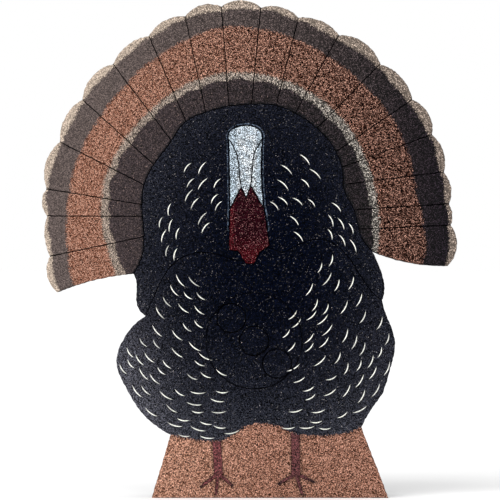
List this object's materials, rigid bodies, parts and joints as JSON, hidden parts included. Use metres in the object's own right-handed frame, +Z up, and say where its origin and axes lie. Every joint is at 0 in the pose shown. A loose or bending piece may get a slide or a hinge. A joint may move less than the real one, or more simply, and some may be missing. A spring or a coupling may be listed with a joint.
{
  "type": "turkey decoy",
  "caption": "Free-standing foam silhouette of a strutting turkey with a scalloped tail fan, a trapezoid foot and a push-out scoring core in the breast.",
  "frame": {"origin": "on the ground under the middle of the object's box", "axes": "+Z up, -Y towards the front of the bird, +X to the right seen from the front"},
  "size_m": [0.6102, 0.1, 0.7318],
  "materials": {
    "charcoal_foam": "closed-cell foam, bare",
    "fan_paint": "sprayed paint on foam",
    "body_paint": "sprayed paint on foam",
    "foot_paint": "sprayed paint on foam",
    "head_paint": "sprayed paint on foam",
    "wattle_paint": "sprayed paint on foam",
    "leg_paint": "brushed paint on foam",
    "sleeve_plastic": "moulded"
  },
  "bodies": {
    "board": {"rear_plank": "charcoal_foam", "center_plank": "charcoal_foam", "tail_fan": "fan_paint", "back_panel": "body_paint", "breast_panel": "body_paint", "base_panel": "foot_paint", "crown_snood": "head_paint", "left_cheek": "head_paint", "right_cheek": "head_paint", "wattle": "wattle_paint", "left_leg": "leg_paint", "right_leg": "leg_paint", "left_stake_sleeve": "sleeve_plastic", "right_stake_sleeve": "sleeve_plastic"},
    "core": {"core_face": "body_paint", "core_stem": "charcoal_foam"}
  },
  "joints": [
    {"name": "core_slide", "type": "slide", "parent": "board", "child": "core", "axis": [0, -1, 0], "range_m": [0, 0.12]}
  ]
}
